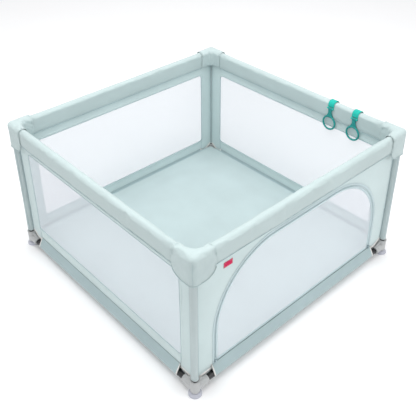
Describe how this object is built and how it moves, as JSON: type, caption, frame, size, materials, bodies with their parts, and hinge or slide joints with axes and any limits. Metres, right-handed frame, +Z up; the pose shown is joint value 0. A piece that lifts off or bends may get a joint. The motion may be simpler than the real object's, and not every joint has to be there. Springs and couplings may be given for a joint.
{
  "type": "playpen",
  "caption": "Square knock-down playpen: black tube frame, padded rails, net walls, arched zip door, fabric floor, suction feet and two teal hand pulls.",
  "frame": {"origin": "on the floor, under the middle of the pen", "axes": "+Z up; the zip door faces -Y, the hand pulls hang on the +X rail"},
  "size_m": [1.207, 1.207, 0.66],
  "materials": {
    "black_tube": "gloss",
    "grey_plastic": "satin",
    "clear_cup": "gloss",
    "foam": "matte",
    "rail_fabric": "matte",
    "cap_fabric": "matte",
    "wall_fabric": "matte",
    "sleeve_fabric": "matte",
    "floor_fabric": "matte",
    "net": "matte",
    "door_band": "matte",
    "binding": "matte",
    "zip_tape": "matte",
    "zip_metal": "satin",
    "teal_strap": "matte",
    "teal_plastic": "gloss",
    "tag": "matte"
  },
  "bodies": {
    "frame": {"post_tube_front_left": "black_tube", "base_connector_front_left": "grey_plastic", "top_connector_front_left": "grey_plastic", "suction_cup_front_left": "clear_cup", "corner_cap_front_left": "cap_fabric", "post_tube_front_right": "black_tube", "base_connector_front_right": "grey_plastic", "top_connector_front_right": "grey_plastic", "suction_cup_front_right": "clear_cup", "corner_cap_front_right": "cap_fabric", "post_tube_back_right": "black_tube", "base_connector_back_right": "grey_plastic", "top_connector_back_right": "grey_plastic", "suction_cup_back_right": "clear_cup", "corner_cap_back_right": "cap_fabric", "post_tube_back_left": "black_tube", "base_connector_back_left": "grey_plastic", "top_connector_back_left": "grey_plastic", "suction_cup_back_left": "clear_cup", "corner_cap_back_left": "cap_fabric", "bottom_rail_tube_front": "black_tube", "top_rail_tube_front": "black_tube", "rail_foam_front": "foam", "rail_cover_front": "rail_fabric", "wall_fabric_front": "wall_fabric", "bottom_rail_tube_right": "black_tube", "top_rail_tube_right": "black_tube", "rail_foam_right": "foam", "rail_cover_right": "rail_fabric", "wall_fabric_right": "wall_fabric", "bottom_rail_tube_back": "black_tube", "top_rail_tube_back": "black_tube", "rail_foam_back": "foam", "rail_cover_back": "rail_fabric", "wall_fabric_back": "wall_fabric", "bottom_rail_tube_left": "black_tube", "top_rail_tube_left": "black_tube", "rail_foam_left": "foam", "rail_cover_left": "rail_fabric", "wall_fabric_left": "wall_fabric", "wall_net_right": "net", "wall_net_back": "net", "wall_net_left": "net", "post_sleeves": "sleeve_fabric", "corner_bindings": "binding", "floor_mat": "floor_fabric", "sewn_tag": "tag", "zip_tape_wall": "zip_tape", "pull_straps": "teal_strap"},
    "door": {"door_net": "net", "door_binding": "door_band", "zip_tape_door": "zip_tape"},
    "slider_left": {"zip_slider_left": "zip_metal"},
    "slider_right": {"zip_slider_right": "zip_metal"},
    "tab_left": {"zip_tab_left": "zip_metal"},
    "tab_right": {"zip_tab_right": "zip_metal"},
    "pull_near": {"hand_pull_near": "teal_plastic"},
    "pull_far": {"hand_pull_far": "teal_plastic"}
  },
  "joints": [
    {"name": "door_hinge", "type": "hinge", "parent": "frame", "child": "door", "pos_m": [0, -0.5705, 0.0785], "axis": [1, 0, 0], "range_deg": [0, 95]},
    {"name": "slider_left_slide", "type": "slide", "parent": "frame", "child": "slider_left", "axis": [0, 0, 1], "range_m": [0, 0.13]},
    {"name": "slider_right_slide", "type": "slide", "parent": "frame", "child": "slider_right", "axis": [0, 0, 1], "range_m": [0, 0.13]},
    {"name": "tab_left_swing", "type": "hinge", "parent": "slider_left", "child": "tab_left", "pos_m": [-0.4715, -0.57606, 0.09], "axis": [-1, 0, 0], "range_deg": [0, 160]},
    {"name": "tab_right_swing", "type": "hinge", "parent": "slider_right", "child": "tab_right", "pos_m": [0.4715, -0.57606, 0.09], "axis": [-1, 0, 0], "range_deg": [0, 160]},
    {"name": "pull_near_swing", "type": "hinge", "parent": "frame", "child": "pull_near", "pos_m": [0.55464, -0.3595, 0.6245], "axis": [0, 1, 0], "range_deg": [0, 110]},
    {"name": "pull_far_swing", "type": "hinge", "parent": "frame", "child": "pull_far", "pos_m": [0.55464, -0.2295, 0.6245], "axis": [0, 1, 0], "range_deg": [0, 110]}
  ]
}
